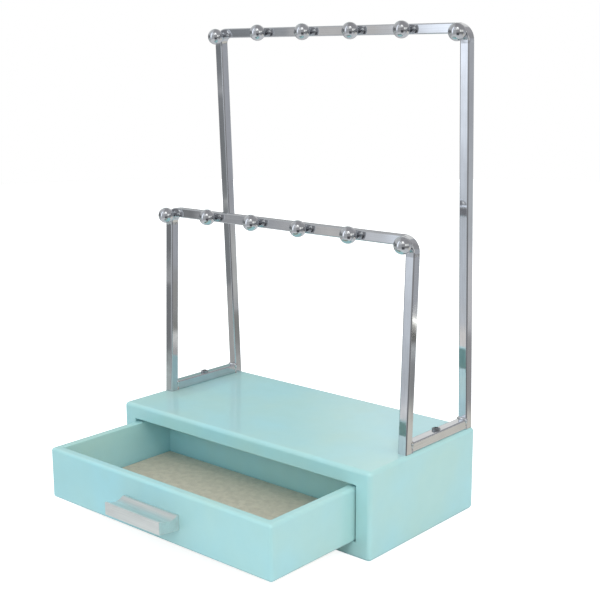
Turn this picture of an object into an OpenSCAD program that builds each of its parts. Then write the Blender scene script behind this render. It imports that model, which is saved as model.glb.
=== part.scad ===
// Jewelry stand with a drawer. A lacquered wooden cabinet carries two bent chrome tube frames, a low one in
// front and a tall one behind, and each top bar has a row of ball hooks. All lengths are in millimetres.
// Origin: the middle of the cabinet's underside. +X is right along the drawer front, +Y is to the back and
// +Z is up. The drawer is drawn open, as it stands in use, and drawer_open says how far.

/* [Cabinet] */
// Width of the cabinet
cabinet_w = 320; // [260:1:400]
// Depth of the cabinet, front to back
cabinet_d = 164; // [145:1:220]
// Height of the cabinet
cabinet_h = 82.5; // [74:0.5:110]
// Thickness of the top and bottom boards
board_t = 15; // [12:0.5:18]
// Thickness of the two side boards
side_t = 16; // [12:0.5:20]
// Thickness of the back board
back_t = 9; // [6:0.5:14]
// Rounding of the cabinet's outer edges
cabinet_edge_r = 4; // [1:0.5:6]
// Rounding of the edges round the drawer opening
opening_edge_r = 1; // [0.5:0.1:2]
// Diameter of the dowels that join the boards
dowel_d = 6; // [4:0.5:8]
// Depth of a dowel in the top or bottom board
dowel_in_board = 9; // [6:0.5:10]
// Depth of a dowel in a side board
dowel_in_side = 14; // [8:0.5:16]
// Distance of the dowels from the cabinet's front and back
dowel_inset = 30; // [20:1:45]

/* [Drawer] */
// How far the drawer stands open
drawer_open = 107; // [0:1:115]
// Running gap at each side of the drawer
drawer_side_gap = 1; // [0.5:0.1:2]
// Gap above the drawer
drawer_top_gap = 2.2; // [1:0.1:4]
// Running gap under the drawer
drawer_slide_gap = 0.3; // [0.2:0.1:0.8]
// Gap behind the drawer when it is shut
drawer_back_gap = 1; // [0.5:0.1:5]
// Thickness of the drawer's walls
drawer_wall_t = 9; // [8:0.5:12]
// Rounding of the drawer's outer edges
drawer_edge_r = 3; // [1:0.5:4]
// Rounding of the inner edges of the drawer's rim
rim_edge_r = 1.2; // [0.5:0.1:2]
// Thickness of the drawer's floor panel
floor_t = 4; // [3:0.5:6]
// Height of the floor panel above the drawer's underside
floor_lift = 4.5; // [3:0.5:6]
// Depth of the grooves that hold the floor panel
groove_depth = 4; // [3:0.5:5]
// Clearance round the floor panel in its grooves
groove_fit = 0.15; // [0.1:0.05:0.4]
// Thickness of the lining on the drawer's floor
lining_t = 2.5; // [1:0.5:4]
// Gap between the lining and the drawer's walls
lining_gap = 0.4; // [0.2:0.1:1]
// Diameter of the dowels in the drawer's corners
drawer_dowel_d = 4; // [3:0.5:5]
// Depth of a drawer dowel in the front or back wall
drawer_dowel_in_end = 5; // [3:0.5:6]
// Depth of a drawer dowel in a side wall
drawer_dowel_in_side = 13; // [8:0.5:16]

/* [Handle] */
// Length of the handle along the drawer front
handle_l = 71; // [68:1:110]
// How far the handle stands out from the drawer front
handle_reach = 23; // [18:0.5:30]
// Height of the handle's front lip
handle_lip_h = 11.7; // [10:0.1:16]
// Height of the handle's back plate
handle_plate_h = 14; // [12:0.5:17]
// Thickness of the handle's front lip
handle_lip_t = 2.2; // [1.5:0.1:3]
// Thickness of the handle's back plate
handle_plate_t = 2.5; // [2:0.1:3.5]
// Thickness of the hollowed bridge between plate and lip
handle_bridge_t = 2.2; // [1.5:0.1:3]
// Thickness of the walls that close the handle's ends
handle_end_t = 2.2; // [1.5:0.1:3]
// Depth of the hollow along the handle's top
handle_cove_depth = 3; // [2:0.1:4]
// Distance from the drawer's top edge to the top of the handle
handle_drop = 20; // [14:0.5:22]
// Distance between the two handle screws
handle_screw_pitch = 64; // [32:1:64]
// Diameter of a handle screw
handle_screw_d = 4; // [3:0.5:5]
// Diameter of a handle screw's head
handle_screw_head_d = 7.6; // [6:0.1:9]
// Height of a handle screw's head
handle_screw_head_h = 2.6; // [2:0.1:3.5]
// Depth of a handle screw in the handle's back plate
handle_screw_bite = 1.7; // [1:0.1:1.8]

/* [Frames] */
// Outside width of the square tube
tube_w = 9.5; // [8:0.1:12]
// Wall of the square tube
tube_wall = 1; // [0.8:0.1:1.5]
// Rounding of the tube's long edges
tube_edge_r = 1.2; // [0.8:0.1:2]
// Inside radius of the bends at the top corners
bend_inner_r = 6; // [4:0.5:12]
// Distance of the frames from the cabinet's sides
frame_side_inset = 2.5; // [0:0.5:10]
// Distance of the rear frame's feet from the cabinet's back
frame_back_inset = 2; // [0:0.5:10]
// Depth of the feet, from the front frame's face to the rear frame's back
foot_depth = 107; // [90:1:125]
// Height of the front frame above the cabinet
front_frame_h = 196; // [150:1:240]
// Height of the rear frame above the cabinet
rear_frame_h = 376; // [300:1:420]
// Backward lean of the front frame, in degrees
front_lean = 2.3; // [0:0.1:3]
// Forward lean of the rear frame, in degrees
rear_lean = 2.1; // [0:0.1:3]
// Radius of the weld beads at the ends of the foot rails
weld_r = 1.6; // [1:0.1:2.5]
// Diameter of the screws that hold the foot rails
rail_screw_d = 4; // [3:0.5:5]
// Diameter of a rail screw's head
rail_screw_head_d = 8; // [6.5:0.1:9]
// Height of a rail screw's head
rail_screw_head_h = 2.6; // [2:0.1:4]
// Depth of a rail screw in the top board
rail_screw_bite = 11; // [8:0.5:11.5]

/* [Hooks] */
// Diameter of a ball hook
ball_d = 16; // [12:0.5:20]
// Depth of the flat seat cut off the back of the ball
ball_seat_cut = 1.4; // [0.8:0.1:2]
// Diameter of the stud that holds a ball
stud_d = 4; // [3:0.5:5]
// Depth of the stud in the ball
stud_in_ball = 8; // [5:0.5:10]

/* [Hidden] */
$fn = 72;

lacquer = "#aed9de";
chrome = "#c9cdd2";
dark_steel = "#55585c";
steel = "#a8abb0";
aluminium = "#cfcfcb";
velvet = "#b3ad96";
birch = "#d8c39a";

// Every cut runs past the face that it opens by this much
overrun = 1;
// Radial clearance of dowels, studs and screws in their holes
pin_fit = 0.1;
hooks_per_bar = 6;
// The middle of a bend, where the end hooks sit
bend_middle = 45;

opening_w = cabinet_w - 2 * side_t;
opening_h = cabinet_h - 2 * board_t;
cabinet_front_y = -cabinet_d / 2;
cabinet_back_y = cabinet_d / 2;

drawer_w = opening_w - 2 * drawer_side_gap;
drawer_h = opening_h - drawer_slide_gap - drawer_top_gap;
drawer_l = cabinet_d - back_t - drawer_back_gap;
drawer_front_y = cabinet_front_y - drawer_open;
drawer_back_y = drawer_front_y + drawer_l;
drawer_base_z = board_t + drawer_slide_gap;
drawer_top_z = drawer_base_z + drawer_h;
drawer_inner_w = drawer_w - 2 * drawer_wall_t;
drawer_inner_l = drawer_l - 2 * drawer_wall_t;
drawer_dowel_height_shares = [0.42, 0.76];
floor_top_z = drawer_base_z + floor_lift + floor_t;

handle_top_z = drawer_top_z - handle_drop;
handle_screw_z = handle_top_z - handle_plate_h / 2;
cove_w = handle_reach - handle_lip_t - handle_plate_t;
cove_r = (pow(cove_w / 2, 2) + pow(handle_cove_depth, 2)) / (2 * handle_cove_depth);
cove_centre = [handle_plate_t + cove_w / 2, cove_r - handle_cove_depth];
finger_pocket_h = max(handle_plate_h, handle_lip_h) + overrun;

frame_w = cabinet_w - 2 * frame_side_inset;
rear_frame_y = cabinet_back_y - frame_back_inset - tube_w / cos(rear_lean);
front_frame_y = cabinet_back_y - frame_back_inset - foot_depth;
rail_front_y = front_frame_y + tube_w / cos(front_lean);
rail_middle_y = (rail_front_y + rear_frame_y) / 2;
rail_x = frame_w / 2 - tube_w / 2;
bend_outer_r = bend_inner_r + tube_w;
bend_middle_r = bend_inner_r + tube_w / 2;
ball_seat_distance = ball_d / 2 - ball_seat_cut;

// The cross recess of a screw head, as shares of the head's diameter and height
recess_w_share = 0.16;
recess_l_share = 0.62;
recess_depth_share = 0.6;

// A rectangle centred on the origin with round corners
module round_rect(size, r) {
    square([size[0], size[1] - 2 * r], center = true);
    square([size[0] - 2 * r, size[1]], center = true);
    for (sx = [-1, 1], sy = [-1, 1])
        translate([sx * (size[0] / 2 - r), sy * (size[1] / 2 - r)]) circle(r = r);
}

// What rounds a corner at the origin with the solid in its +X, +Y and +Z eighth
module corner_round(r) {
    difference() {
        translate([-overrun, -overrun, -overrun]) cube(r + overrun);
        translate([r, r, r]) sphere(r = r);
    }
}

// A block with all its edges and corners rounded, centred in X and Y, standing on Z = 0
module round_block(size, r) {
    translate([0, 0, size[2] / 2]) difference() {
        intersection() {
            linear_extrude(height = size[2], center = true) round_rect([size[0], size[1]], r);
            rotate([90, 0, 0])
                linear_extrude(height = size[1], center = true) round_rect([size[0], size[2]], r);
            rotate([90, 0, 90])
                linear_extrude(height = size[0], center = true) round_rect([size[1], size[2]], r);
        }
        for (mx = [0, 1], my = [0, 1], mz = [0, 1])
            mirror([mx, 0, 0]) mirror([0, my, 0]) mirror([0, 0, mz])
                translate(-size / 2) corner_round(r);
    }
}

// What rounds an edge along Z with the solid in its +X and +Y quarter
module edge_round(length, r) {
    linear_extrude(height = length, center = true) difference() {
        translate([-overrun, -overrun]) square(r + overrun);
        translate([r, r]) circle(r = r);
    }
}

// The same along X, with the solid above and behind the edge
module edge_round_x(length, r) {
    rotate([90, 0, 90]) edge_round(length, r);
}

// Turns its children to both sides, left and right
module both_sides() {
    children();
    mirror([1, 0, 0]) children();
}

// A pan head screw with a cross recess, its head standing on Z = 0 and its shank pointing down
module pan_screw(head_d, head_h, shank_d, length) {
    difference() {
        intersection() {
            cylinder(d = head_d, h = head_h);
            translate([0, 0, head_h - head_d]) sphere(r = head_d);
        }
        translate([0, 0, head_h * (recess_depth_share + 1 / 2)])
            for (turn = [0, 90]) rotate([0, 0, turn])
                cube([head_d * recess_l_share, head_d * recess_w_share, head_h], center = true);
    }
    translate([0, 0, -length]) cylinder(d = shank_d, h = length);
}

// Cabinet

module cabinet_outline() {
    round_block([cabinet_w, cabinet_d, cabinet_h], cabinet_edge_r);
}

// Places its children at the four joints of the top board, turned so that +Z points into that board
module top_dowel_places() {
    for (sx = [-1, 1], sy = [-1, 1])
        translate([sx * (cabinet_w - side_t) / 2, sy * (cabinet_back_y - dowel_inset), cabinet_h - board_t])
            children();
}

module bottom_dowel_places() {
    translate([0, 0, cabinet_h]) mirror([0, 0, 1]) top_dowel_places() children();
}

// Dowel with the board above Z = 0 and the side below, wider by twice the clearance where it is a hole
module board_dowel(clearance) {
    translate([0, 0, -dowel_in_side])
        cylinder(d = dowel_d + 2 * clearance, h = dowel_in_side + dowel_in_board);
}

module rail_screw_places() {
    both_sides() translate([rail_x, rail_middle_y, cabinet_h + tube_w]) children();
}

module cabinet_top() {
    color(lacquer) difference() {
        intersection() {
            cabinet_outline();
            translate([-cabinet_w / 2, cabinet_front_y, cabinet_h - board_t])
                cube([cabinet_w, cabinet_d, board_t]);
        }
        translate([0, cabinet_front_y, cabinet_h - board_t]) edge_round_x(opening_w, opening_edge_r);
        top_dowel_places() board_dowel(pin_fit);
        rail_screw_places() translate([0, 0, -tube_w - rail_screw_bite])
            cylinder(d = rail_screw_d + 2 * pin_fit, h = cabinet_h);
    }
}

module cabinet_bottom() {
    color(lacquer) difference() {
        intersection() {
            cabinet_outline();
            translate([-cabinet_w / 2, cabinet_front_y, 0]) cube([cabinet_w, cabinet_d, board_t]);
        }
        translate([0, cabinet_front_y, board_t]) mirror([0, 0, 1]) edge_round_x(opening_w, opening_edge_r);
        bottom_dowel_places() board_dowel(pin_fit);
    }
}

module cabinet_right_side() {
    color(lacquer) difference() {
        intersection() {
            cabinet_outline();
            translate([opening_w / 2, cabinet_front_y, board_t]) cube([side_t, cabinet_d, opening_h]);
        }
        translate([opening_w / 2, cabinet_front_y, cabinet_h / 2]) edge_round(opening_h, opening_edge_r);
        top_dowel_places() board_dowel(pin_fit);
        bottom_dowel_places() board_dowel(pin_fit);
    }
}

module cabinet_left_side() {
    mirror([1, 0, 0]) cabinet_right_side();
}

module cabinet_back() {
    color(lacquer) translate([-opening_w / 2, cabinet_back_y - back_t, board_t])
        cube([opening_w, back_t, opening_h]);
}

module cabinet_dowels() {
    color(birch) {
        top_dowel_places() board_dowel(0);
        bottom_dowel_places() board_dowel(0);
    }
}

// Frames

// Puts its children, drawn upright in the plane of a frame, on the cabinet at the frame's lean
module in_frame(front_y, lean) {
    translate([0, front_y, cabinet_h]) rotate([lean, 0, 0]) children();
}

module in_rear_frame() {
    in_frame(rear_frame_y, rear_lean) children();
}

module in_front_frame() {
    in_frame(front_frame_y, -front_lean) children();
}

// Length of a frame along its own lean
rear_frame_l = rear_frame_h / cos(rear_lean);
front_frame_l = front_frame_h / cos(front_lean);

// Section of the tube, centred, or of its bore when an inset is given
module tube_section(inset) {
    if (inset > 0)
        square(tube_w - 2 * inset, center = true);
    else
        round_rect([tube_w, tube_w], tube_edge_r);
}

// An inverted U of tube in the XZ plane, its front face on Y = 0 and its feet one overrun below Z = 0
module bent_tube(height, inset) {
    corner_x = frame_w / 2 - bend_outer_r;
    corner_z = height - bend_outer_r;
    translate([0, tube_w / 2, 0]) {
        both_sides() {
            translate([rail_x, 0, -overrun]) linear_extrude(height = corner_z + overrun) tube_section(inset);
            translate([corner_x, 0, corner_z]) rotate([90, 0, 0])
                rotate_extrude(angle = 90) translate([bend_middle_r, 0]) tube_section(inset);
        }
        translate([0, 0, height - tube_w / 2]) rotate([0, 90, 0])
            linear_extrude(height = 2 * corner_x, center = true) tube_section(inset);
    }
}

// Place of hook i on a frame of this height, in the plane of the frame. The end hooks sit on the bends.
function hook_x(i) = (frame_w / 2 - bend_outer_r + bend_middle_r * cos(bend_middle))
    * (2 * (i - 1) / (hooks_per_bar - 1) - 1);
function hook_z(i, height) = (i == 1 || i == hooks_per_bar)
    ? height - bend_outer_r + bend_middle_r * sin(bend_middle)
    : height - tube_w / 2;

module hook_place(i, height) {
    translate([hook_x(i), 0, hook_z(i, height)]) children();
}

// A stud along Y through a tube's front wall, or its hole
module stud(clearance) {
    translate([0, tube_w - tube_wall, 0]) rotate([90, 0, 0])
        cylinder(d = stud_d + 2 * clearance, h = tube_w - tube_wall + stud_in_ball);
}

module frame_tube(height) {
    difference() {
        bent_tube(height, 0);
        bent_tube(height, tube_wall);
        translate([0, 0, -overrun]) both_sides() translate([rail_x, tube_w / 2, 0])
            cube([tube_w - 2 * tube_wall, tube_w - 2 * tube_wall, overrun], center = true);
        for (i = [1:hooks_per_bar]) hook_place(i, height) stud(pin_fit);
    }
}

// Everything under the cabinet's top, which cuts the leaning feet flat
module below_cabinet_top() {
    translate([-cabinet_w / 2, cabinet_front_y, 0]) cube([cabinet_w, cabinet_d, cabinet_h]);
}

module rear_frame() {
    color(chrome) difference() {
        in_rear_frame() frame_tube(rear_frame_l);
        below_cabinet_top();
    }
}

module front_frame() {
    color(chrome) difference() {
        in_front_frame() frame_tube(front_frame_l);
        below_cabinet_top();
    }
}

// A foot rail between the legs, its ends cut to the lean of each leg
module right_rail() {
    color(chrome) difference() {
        intersection() {
            translate([rail_x, rail_middle_y, cabinet_h + tube_w / 2]) rotate([90, 0, 0])
                linear_extrude(height = foot_depth, center = true) difference() {
                    tube_section(0);
                    tube_section(tube_wall);
                }
            translate([rail_x - tube_w / 2, 0, cabinet_h]) rotate([90, 0, 90]) linear_extrude(height = tube_w)
                polygon([
                    [rail_front_y, 0],
                    [rear_frame_y, 0],
                    [rear_frame_y - tube_w * tan(rear_lean), tube_w],
                    [rail_front_y + tube_w * tan(front_lean), tube_w]
                ]);
        }
        rail_screw_places() translate([0, 0, -tube_w - overrun])
            cylinder(d = rail_screw_d + 2 * pin_fit, h = tube_w + 2 * overrun);
    }
}

module left_rail() {
    mirror([1, 0, 0]) right_rail();
}

// Weld beads in the corners between the rails' tops and the legs
module rail_welds() {
    bead_l = tube_w - 2 * tube_edge_r;
    color(chrome) both_sides() difference() {
        for (y = [rail_front_y + tube_w * tan(front_lean), rear_frame_y - tube_w * tan(rear_lean)])
            translate([rail_x, y, cabinet_h + tube_w]) rotate([0, 90, 0])
                cylinder(r = weld_r, h = bead_l, center = true);
        translate([rail_x - tube_w / 2, cabinet_front_y, 0]) cube([tube_w, cabinet_d, cabinet_h + tube_w]);
        in_front_frame() translate([rail_x - tube_w / 2, 0, 0]) cube([tube_w, tube_w, cabinet_h]);
        in_rear_frame() translate([rail_x - tube_w / 2, 0, 0]) cube([tube_w, tube_w, cabinet_h]);
    }
}

module rail_screws() {
    color(dark_steel) rail_screw_places()
        pan_screw(rail_screw_head_d, rail_screw_head_h, rail_screw_d, tube_w + rail_screw_bite);
}

// Ball hooks

module hook_studs(height) {
    color(steel) for (i = [1:hooks_per_bar]) hook_place(i, height) stud(0);
}

module rear_studs() {
    in_rear_frame() hook_studs(rear_frame_l);
}

module front_studs() {
    in_front_frame() hook_studs(front_frame_l);
}

// A ball turned about its stud, with a flat seat on the bar's front face and a blind hole for the stud
module ball_hook() {
    color(chrome) rotate([90, 0, 0]) rotate_extrude() difference() {
        intersection() {
            translate([0, ball_seat_distance]) circle(d = ball_d);
            square(ball_d);
        }
        translate([0, -overrun]) square([stud_d / 2 + pin_fit, stud_in_ball + overrun]);
    }
}

module rear_ball(i) {
    in_rear_frame() hook_place(i, rear_frame_l) ball_hook();
}

module front_ball(i) {
    in_front_frame() hook_place(i, front_frame_l) ball_hook();
}

// Drawer

module drawer_outline() {
    translate([0, drawer_front_y + drawer_l / 2, drawer_base_z])
        round_block([drawer_w, drawer_l, drawer_h], drawer_edge_r);
}

// The floor panel, or the grooves for it when it is drawn larger by a clearance at its edges and top
module floor_panel(clearance) {
    w = drawer_inner_w + 2 * (groove_depth - groove_fit + clearance);
    l = drawer_inner_l + 2 * (groove_depth - groove_fit + clearance);
    translate([-w / 2, drawer_front_y + drawer_l / 2 - l / 2, drawer_base_z + floor_lift])
        cube([w, l, floor_t + clearance]);
}

// Places its children at the drawer's corner dowels, with +Y pointing into the front wall
module front_corner_dowel_places() {
    for (sx = [-1, 1], share = drawer_dowel_height_shares)
        translate([
            sx * (drawer_w - drawer_wall_t) / 2,
            drawer_front_y + drawer_wall_t,
            drawer_base_z + share * drawer_h
        ]) mirror([0, 1, 0]) children();
}

module back_corner_dowel_places() {
    translate([0, 2 * drawer_front_y + drawer_l, 0]) mirror([0, 1, 0]) front_corner_dowel_places() children();
}

module corner_dowel(clearance) {
    translate([0, drawer_dowel_in_end, 0]) rotate([90, 0, 0])
        cylinder(d = drawer_dowel_d + 2 * clearance, h = drawer_dowel_in_end + drawer_dowel_in_side);
}

module handle_screw_places() {
    both_sides() translate([handle_screw_pitch / 2, drawer_front_y + drawer_wall_t, handle_screw_z])
        rotate([-90, 0, 0]) children();
}

// Holes through the drawer front, which end blind in the handle's back plate
module handle_screw_holes() {
    handle_screw_places() translate([0, 0, -drawer_wall_t - handle_screw_bite - pin_fit])
        cylinder(d = handle_screw_d + 2 * pin_fit, h = drawer_wall_t + handle_screw_bite + overrun);
}

module drawer_front() {
    color(lacquer) difference() {
        intersection() {
            drawer_outline();
            translate([-drawer_w / 2, drawer_front_y, drawer_base_z])
                cube([drawer_w, drawer_wall_t, drawer_h]);
        }
        floor_panel(groove_fit);
        front_corner_dowel_places() corner_dowel(pin_fit);
        handle_screw_holes();
        translate([0, drawer_front_y + drawer_wall_t, drawer_top_z]) rotate([180, 0, 0])
            edge_round_x(drawer_inner_w, rim_edge_r);
    }
}

module drawer_back() {
    color(lacquer) difference() {
        intersection() {
            drawer_outline();
            translate([-drawer_w / 2, drawer_back_y - drawer_wall_t, drawer_base_z])
                cube([drawer_w, drawer_wall_t, drawer_h]);
        }
        floor_panel(groove_fit);
        back_corner_dowel_places() corner_dowel(pin_fit);
        translate([0, drawer_back_y - drawer_wall_t, drawer_top_z]) mirror([0, 0, 1])
            edge_round_x(drawer_inner_w, rim_edge_r);
    }
}

module drawer_right_side() {
    color(lacquer) difference() {
        intersection() {
            drawer_outline();
            translate([drawer_inner_w / 2, drawer_front_y + drawer_wall_t, drawer_base_z])
                cube([drawer_wall_t, drawer_inner_l, drawer_h]);
        }
        floor_panel(groove_fit);
        front_corner_dowel_places() corner_dowel(pin_fit);
        back_corner_dowel_places() corner_dowel(pin_fit);
        translate([drawer_inner_w / 2, drawer_front_y + drawer_l / 2, drawer_top_z]) rotate([-90, 0, 0])
            edge_round(drawer_inner_l, rim_edge_r);
    }
}

module drawer_left_side() {
    mirror([1, 0, 0]) drawer_right_side();
}

module drawer_bottom() {
    color(birch) floor_panel(0);
}

module drawer_dowels() {
    color(birch) {
        front_corner_dowel_places() corner_dowel(0);
        back_corner_dowel_places() corner_dowel(0);
    }
}

module drawer_lining() {
    color(velvet) translate([
        -drawer_inner_w / 2 + lining_gap,
        drawer_front_y + drawer_wall_t + lining_gap,
        floor_top_z
    ]) cube([drawer_inner_w - 2 * lining_gap, drawer_inner_l - 2 * lining_gap, lining_t]);
}

// Section of the handle's end walls, drawn with X pointing out of the drawer front and Y pointing up, its top
// on Y = 0
module handle_end_section() {
    difference() {
        polygon([
            [0, 0],
            [0, -handle_plate_h],
            [handle_plate_t, -handle_plate_h],
            [handle_reach - handle_lip_t, -handle_lip_h],
            [handle_reach, -handle_lip_h],
            [handle_reach, 0]
        ]);
        translate(cove_centre) circle(r = cove_r);
    }
}

// The same between the end walls, where the underside is open for the fingers
module handle_section() {
    difference() {
        handle_end_section();
        difference() {
            translate([handle_plate_t, -finger_pocket_h]) square([cove_w, finger_pocket_h]);
            translate(cove_centre) circle(r = cove_r + handle_bridge_t);
        }
    }
}

module drawer_handle() {
    color(aluminium) difference() {
        translate([0, drawer_front_y, handle_top_z]) rotate([90, 0, -90]) {
            linear_extrude(height = handle_l - 2 * handle_end_t, center = true) handle_section();
            for (side = [-1, 1]) translate([0, 0, side * (handle_l - handle_end_t) / 2])
                linear_extrude(height = handle_end_t, center = true) handle_end_section();
        }
        handle_screw_holes();
    }
}

module handle_screws() {
    color(steel) handle_screw_places()
        pan_screw(handle_screw_head_d, handle_screw_head_h, handle_screw_d, drawer_wall_t + handle_screw_bite);
}

cabinet_top();
cabinet_bottom();
cabinet_left_side();
cabinet_right_side();
cabinet_back();
cabinet_dowels();
rear_frame();
front_frame();
left_rail();
right_rail();
rail_welds();
rail_screws();
rear_studs();
front_studs();
for (i = [1:hooks_per_bar]) {
    rear_ball(i);
    front_ball(i);
}
drawer_front();
drawer_back();
drawer_left_side();
drawer_right_side();
drawer_bottom();
drawer_dowels();
drawer_lining();
drawer_handle();
handle_screws();
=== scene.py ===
"""Dresses the packed jewelry stand. Its CAD nodes get lacquer, chrome, zinc and wood. The lining, the handle
and the weld beads are new pieces, and a pale studio stands round the object. Lengths are in metres."""

import math

import bmesh
import bpy
import numpy as np
from mathutils import Matrix, Vector


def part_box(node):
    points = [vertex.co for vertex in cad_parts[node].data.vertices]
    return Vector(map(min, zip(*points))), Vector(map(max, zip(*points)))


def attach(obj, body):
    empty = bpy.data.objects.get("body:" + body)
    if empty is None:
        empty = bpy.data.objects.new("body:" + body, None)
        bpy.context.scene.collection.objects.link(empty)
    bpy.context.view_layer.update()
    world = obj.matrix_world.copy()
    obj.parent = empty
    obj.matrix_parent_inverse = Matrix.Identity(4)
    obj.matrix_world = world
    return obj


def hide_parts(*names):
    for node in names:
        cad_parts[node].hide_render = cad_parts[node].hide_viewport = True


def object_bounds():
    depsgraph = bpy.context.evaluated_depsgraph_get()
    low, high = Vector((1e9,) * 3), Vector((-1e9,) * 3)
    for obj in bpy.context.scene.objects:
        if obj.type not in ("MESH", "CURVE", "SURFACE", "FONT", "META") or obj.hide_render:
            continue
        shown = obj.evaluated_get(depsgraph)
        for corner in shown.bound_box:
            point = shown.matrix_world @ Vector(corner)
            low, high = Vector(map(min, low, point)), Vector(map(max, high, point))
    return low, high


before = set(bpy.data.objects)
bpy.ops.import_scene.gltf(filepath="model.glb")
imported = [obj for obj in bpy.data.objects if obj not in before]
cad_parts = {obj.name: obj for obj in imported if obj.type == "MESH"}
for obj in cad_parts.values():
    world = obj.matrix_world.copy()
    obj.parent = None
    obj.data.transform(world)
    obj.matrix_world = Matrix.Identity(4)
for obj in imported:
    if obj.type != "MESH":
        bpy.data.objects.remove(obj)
CAD_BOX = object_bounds()

bl_info = {
    "name": "Jewelry Stand Finish",
    "version": (1, 0, 0),
    "blender": (4, 5, 0),
    "location": "3D View > Sidebar > Jewelry Stand",
    "description": "Finishes, lining, handle and studio for a jewelry stand with a drawer",
    "category": "Object",
}

CABINET_BOARDS = ["cabinet_top", "cabinet_bottom", "cabinet_left_side", "cabinet_right_side", "cabinet_back"]
DRAWER_WALLS = ["drawer_front", "drawer_back", "drawer_left_side", "drawer_right_side"]
BALLS = [f"{row}_ball_{i}" for row in ("rear", "front") for i in range(1, 7)]


# Shader trees


def feed(tree, socket, value):
    """Links an input to a socket, or sets any other value on it."""
    if isinstance(value, bpy.types.NodeSocket):
        tree.links.new(value, socket)
    else:
        socket.default_value = value


def add_node(tree, kind, inputs=None, **attributes):
    """Adds a shader node and feeds its inputs, which are given by name or by number."""
    node = tree.nodes.new(kind)
    for name, value in attributes.items():
        setattr(node, name, value)
    for name, value in (inputs or {}).items():
        feed(tree, node.inputs[name], value)
    return node


def result(tree, kind, inputs=None, **attributes):
    """The first output of a new shader node."""
    return add_node(tree, kind, inputs, **attributes).outputs[0]


def calculate(tree, operation, *values, clamp=False):
    """A Math node on sockets or numbers."""
    inputs = dict(enumerate(values))
    return result(tree, "ShaderNodeMath", inputs, operation=operation, use_clamp=clamp)


def calculate_vector(tree, operation, *values):
    """A Vector Math node on sockets or vectors. A dot product or a length comes out as a number."""
    node = add_node(tree, "ShaderNodeVectorMath", dict(enumerate(values)), operation=operation)
    return node.outputs["Value" if operation in ("DOT_PRODUCT", "LENGTH") else "Vector"]


def split_axes(tree, vector):
    """The X, Y and Z of a vector."""
    return add_node(tree, "ShaderNodeSeparateXYZ", {0: vector}).outputs


def mix_numbers(tree, share, first, second):
    """first where share is 0 and second where it is 1. Each is a number or a socket."""
    return result(tree, "ShaderNodeMix", {0: share, 2: first, 3: second}, data_type="FLOAT")


def mix_colours(tree, share, first, second):
    """first where share is 0 and second where it is 1. Each is a colour or a socket."""
    inputs = {0: share, 6: first, 7: second}
    return add_node(tree, "ShaderNodeMix", inputs, data_type="RGBA").outputs[2]


def mix_shaders(tree, share, first, second):
    """The first shader where share is 0 and the second where it is 1."""
    return result(tree, "ShaderNodeMixShader", {0: share, 1: first, 2: second})


def remap(tree, value, low, high, to_low=0.0, to_high=1.0):
    """Takes a value from one range to another, held at both ends."""
    return result(tree, "ShaderNodeMapRange", {0: value, 1: low, 2: high, 3: to_low, 4: to_high})


def noise(tree, place, feature, detail=2.0, roughness=0.5):
    """Noise whose features are about this many metres across."""
    inputs = {"Vector": place, "Scale": 1 / feature, "Detail": detail, "Roughness": roughness}
    return result(tree, "ShaderNodeTexNoise", inputs)


def streaks(tree, place, width, stretch, run="X", detail=3.0, roughness=0.7):
    """Noise of streaks that are about this wide, and stretch times as long along the axis run."""
    sizes = [width * (stretch if axis == run else 1) for axis in "XYZ"]
    inputs = {"Vector": place, "Scale": [1 / size for size in sizes]}
    return noise(tree, result(tree, "ShaderNodeMapping", inputs), 1.0, detail, roughness)


def bump(tree, height, depth, normal=None):
    """A bump that is depth metres deep where height goes from 0 to 1. It may lie over another one."""
    inputs = {"Height": height, "Distance": depth}
    if normal is not None:
        inputs["Normal"] = normal
    return result(tree, "ShaderNodeBump", inputs)


def new_finish(name):
    """A material with an empty tree, its principled shader and its Object coordinates."""
    material = bpy.data.materials.new(name)
    material.use_nodes = True
    tree = material.node_tree
    tree.nodes.clear()
    shader = tree.nodes.new("ShaderNodeBsdfPrincipled")
    out = tree.nodes.new("ShaderNodeOutputMaterial")
    tree.links.new(shader.outputs[0], out.inputs["Surface"])
    place = tree.nodes.new("ShaderNodeTexCoord").outputs["Object"]
    return material, tree, shader, place


def connect(tree, shader, **sockets):
    """Feeds the shader's inputs, whose names have their blanks written as underscores."""
    for name, value in sockets.items():
        feed(tree, shader.inputs[name.replace("_", " ")], value)


def cover(material, nodes):
    """Puts a material on CAD nodes."""
    for name in nodes:
        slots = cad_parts[name].data.materials
        slots.clear()
        slots.append(material)


# Finishes


# The range of a noise's values that each pattern spreads from end to end. A narrow one gives more contrast.
CRISP = (0.35, 0.65)
GENTLE = (0.3, 0.7)
THIN_SPOTS = (0.42, 0.62)
SMUDGES = (0.35, 0.7)
SMUDGE_GLOSS = (0.3, 0.75)
HEAT_PATCHES = (0.5, 0.65)
NAP_SHADES = (0.34, 0.62)
PILE_SHADES = (0.3, 0.75)


def joint_box(nodes):
    """The lowest and the highest corner of several nodes together."""
    low, high = zip(*(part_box(name) for name in nodes))
    return [min(axis) for axis in zip(*low)], [max(axis) for axis in zip(*high)]


def rounded_edge_share(tree, place, low, high, radius):
    """How far a point lies on the rounded edges of a box. Inside each axis's round zone its depth goes from 0
    to 1, and the three products of two depths are summed, so faces give 0 and edges give more."""
    centre = [(a + b) / 2 for a, b in zip(low, high)]
    core = [(b - a) / 2 - radius for a, b in zip(low, high)]
    axes = split_axes(tree, calculate_vector(tree, "SUBTRACT", place, centre))
    depths = [
        remap(tree, calculate(tree, "ABSOLUTE", axis), inner, inner + radius)
        for axis, inner in zip(axes, core)
    ]
    pairs = [calculate(tree, "MULTIPLY", depths[i], depths[j]) for i, j in ((0, 1), (1, 2), (2, 0))]
    return calculate(tree, "ADD", calculate(tree, "ADD", pairs[0], pairs[1]), pairs[2], clamp=True)


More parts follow.
